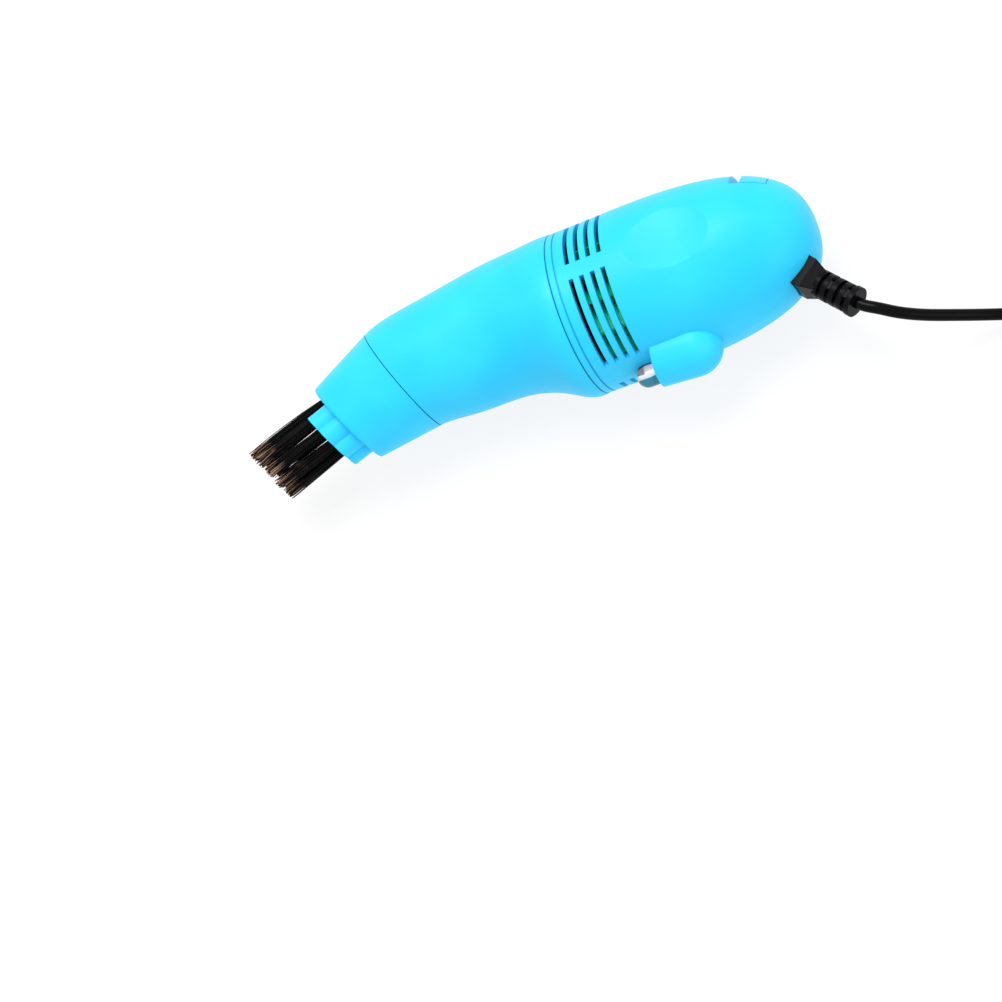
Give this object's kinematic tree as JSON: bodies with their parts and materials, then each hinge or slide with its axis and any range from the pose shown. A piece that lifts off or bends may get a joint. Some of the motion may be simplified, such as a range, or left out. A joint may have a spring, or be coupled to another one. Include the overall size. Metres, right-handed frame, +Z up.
{
  "type": "desktop mini vacuum cleaner",
  "caption": "Hand-held mini vacuum cleaner with a round vented housing, curved snout, bristle brush head, lamp, slide switch and a USB cord that lies coiled.",
  "frame": {"origin": "middle of the cleaner's box without its cord, on the surface that it lies on", "axes": "+X from the nozzle to the tail along the housing's axis, +Y from the lamp to the switch, +Z up, square to the seam of the housing"},
  "size_m": [0.3174, 0.0679, 0.0502],
  "materials": {
    "cyan_plastic": "smooth, lightly glossy moulded plastic",
    "green_plastic": "glossy moulded plastic",
    "white_plastic": "satin",
    "black_plastic": "satin",
    "bristle": "fine synthetic fibres",
    "cloth": "thin woven filter cloth",
    "clear_bulb": "clear epoxy",
    "steel": "plated sheet",
    "magnet": "sintered ferrite",
    "bronze": "sintered bronze",
    "copper": "enamelled copper",
    "ceramic": "dipped ceramic",
    "red_wire": "insulation",
    "black_wire": "insulation",
    "lamp_wire": "insulation",
    "black_rubber": "smooth moulded soft vinyl",
    "gold": "gold-plated"
  },
  "bodies": {
    "housing": {"upper_shell": "cyan_plastic", "lower_shell": "cyan_plastic", "casing_screws": "steel", "inlet_plate": "black_plastic", "motor_bulkhead": "black_plastic", "motor_screws": "steel", "motor_can": "steel", "front_bush": "bronze", "rear_bush": "bronze", "motor_magnets": "magnet", "motor_end_cap": "white_plastic", "motor_terminals": "bronze", "noise_capacitor": "ceramic", "switch_body": "steel", "led_lens": "clear_bulb", "led_leads": "steel", "lamp_wires": "lamp_wire", "red_wires": "red_wire", "black_wire": "black_wire", "strain_relief": "black_rubber", "cord_lead": "black_rubber", "cord_coil": "black_rubber", "cord_end": "black_rubber", "plug_overmould": "black_rubber", "plug_shell": "steel", "plug_insulator": "white_plastic", "plug_contacts": "gold"},
    "rotor": {"impeller": "green_plastic", "motor_shaft": "steel", "rotor_core": "steel", "rotor_windings": "copper", "commutator": "copper"},
    "slider": {"switch_slider": "cyan_plastic", "switch_lever": "black_plastic"},
    "snout": {"snout_shell": "cyan_plastic"},
    "nozzle": {"brush_head": "cyan_plastic", "brush_tufts": "bristle"},
    "filter": {"filter_frame": "white_plastic", "filter_cloth": "cloth"}
  },
  "joints": [
    {"name": "fan_spin", "type": "hinge", "parent": "housing", "child": "rotor", "pos_m": [0.03029, 0.00367, 0.025], "axis": [1, 0, 0], "continuous": true},
    {"name": "switch_slide", "type": "slide", "parent": "housing", "child": "slider", "axis": [-1, 0, 0], "range_m": [0, 0.0022]},
    {"name": "snout_pull", "type": "slide", "parent": "housing", "child": "snout", "axis": [-1, 0, 0], "range_m": [0, 0.04]},
    {"name": "head_pull", "type": "slide", "parent": "snout", "child": "nozzle", "axis": [-0.9239, -0.3827, 0], "range_m": [0, 0.015]},
    {"name": "filter_pull", "type": "slide", "parent": "snout", "child": "filter", "axis": [1, 0, 0], "range_m": [0, 0.02]}
  ],
  "couplings": [
    {"joint": "filter_pull", "follows": "snout_pull", "ratio": 0.5}
  ]
}
